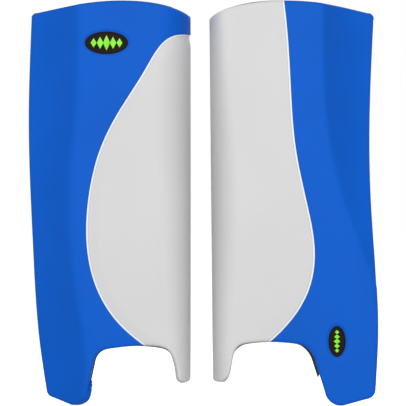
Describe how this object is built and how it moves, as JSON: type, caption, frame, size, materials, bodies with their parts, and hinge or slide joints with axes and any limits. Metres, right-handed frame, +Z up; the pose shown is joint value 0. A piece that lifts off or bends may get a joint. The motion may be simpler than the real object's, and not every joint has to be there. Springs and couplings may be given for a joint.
{
  "type": "field hockey goalkeeper leg guards",
  "caption": "Pair of moulded-foam goalkeeper leg guards with flared outer sides, a rebound face panel, a foot notch, leg-side padding and buckled calf straps.",
  "frame": {"origin": "on the axis of the left leg, 330 mm above the lowest point of the guards and 100 mm behind the front of the rebound face", "axes": "+X across to the right as seen from the front, +Y back from the rebound face to the leg, +Z up"},
  "size_m": [0.6159, 0.173, 0.7141],
  "materials": {
    "blue_foam": "satin",
    "pale_foam": "satin",
    "bond_foam": "matte",
    "core_foam": "matte",
    "liner_fabric": "matte",
    "cushion_fabric": "matte",
    "badge_plastic": "gloss",
    "mark_plastic": "satin",
    "webbing": "matte",
    "elastic": "matte",
    "buckle_plastic": "satin",
    "screw_steel": "satin"
  },
  "bodies": {
    "left_guard": {"left_outer_shell": "blue_foam", "left_face_panel": "pale_foam", "left_bond_strip": "bond_foam", "left_foam_core": "core_foam", "left_leg_liner": "liner_fabric", "left_knee_cushion": "cushion_fabric", "left_inner_shin_bolster": "cushion_fabric", "left_outer_shin_bolster": "cushion_fabric", "left_inner_calf_pad": "liner_fabric", "left_outer_calf_pad": "liner_fabric", "left_badge_plate": "badge_plastic", "left_badge_mark": "mark_plastic", "left_anchor_plates": "buckle_plastic", "left_anchor_screws": "screw_steel", "left_tee_nuts": "screw_steel", "left_buckle_tabs": "webbing", "left_strap_keepers": "elastic", "left_ankle_strap": "webbing", "left_ankle_buckle_body": "buckle_plastic", "left_mid_calf_strap": "webbing", "left_mid_calf_buckle_body": "buckle_plastic", "left_upper_calf_strap": "webbing", "left_upper_calf_buckle_body": "buckle_plastic"},
    "right_guard": {"right_outer_shell": "blue_foam", "right_face_panel": "pale_foam", "right_bond_strip": "bond_foam", "right_foam_core": "core_foam", "right_leg_liner": "liner_fabric", "right_knee_cushion": "cushion_fabric", "right_inner_shin_bolster": "cushion_fabric", "right_outer_shin_bolster": "cushion_fabric", "right_inner_calf_pad": "liner_fabric", "right_outer_calf_pad": "liner_fabric", "right_badge_plate": "badge_plastic", "right_badge_mark": "mark_plastic", "right_anchor_plates": "buckle_plastic", "right_anchor_screws": "screw_steel", "right_tee_nuts": "screw_steel", "right_buckle_tabs": "webbing", "right_strap_keepers": "elastic", "right_ankle_strap": "webbing", "right_ankle_buckle_body": "buckle_plastic", "right_mid_calf_strap": "webbing", "right_mid_calf_buckle_body": "buckle_plastic", "right_upper_calf_strap": "webbing", "right_upper_calf_buckle_body": "buckle_plastic"},
    "left_ankle_plug": {"left_ankle_buckle_clip": "buckle_plastic"},
    "left_mid_calf_plug": {"left_mid_calf_buckle_clip": "buckle_plastic"},
    "left_upper_calf_plug": {"left_upper_calf_buckle_clip": "buckle_plastic"},
    "right_ankle_plug": {"right_ankle_buckle_clip": "buckle_plastic"},
    "right_mid_calf_plug": {"right_mid_calf_buckle_clip": "buckle_plastic"},
    "right_upper_calf_plug": {"right_upper_calf_buckle_clip": "buckle_plastic"}
  },
  "joints": [
    {"name": "stance_spacing", "type": "slide", "parent": "left_guard", "child": "right_guard", "axis": [1, 0, 0], "range_m": [-0.03, 0.045]},
    {"name": "left_ankle_release", "type": "slide", "parent": "left_guard", "child": "left_ankle_plug", "axis": [-1, 0, 0], "range_m": [0, 0.026], "deforming": ["left_ankle_strap"]},
    {"name": "left_mid_calf_release", "type": "slide", "parent": "left_guard", "child": "left_mid_calf_plug", "axis": [-1, 0, 0], "range_m": [0, 0.026], "deforming": ["left_mid_calf_strap"]},
    {"name": "left_upper_calf_release", "type": "slide", "parent": "left_guard", "child": "left_upper_calf_plug", "axis": [-1, 0, 0], "range_m": [0, 0.026], "deforming": ["left_upper_calf_strap"]},
    {"name": "right_ankle_release", "type": "slide", "parent": "right_guard", "child": "right_ankle_plug", "axis": [1, 0, 0], "range_m": [0, 0.026], "deforming": ["right_ankle_strap"]},
    {"name": "right_mid_calf_release", "type": "slide", "parent": "right_guard", "child": "right_mid_calf_plug", "axis": [1, 0, 0], "range_m": [0, 0.026], "deforming": ["right_mid_calf_strap"]},
    {"name": "right_upper_calf_release", "type": "slide", "parent": "right_guard", "child": "right_upper_calf_plug", "axis": [1, 0, 0], "range_m": [0, 0.026], "deforming": ["right_upper_calf_strap"]}
  ]
}
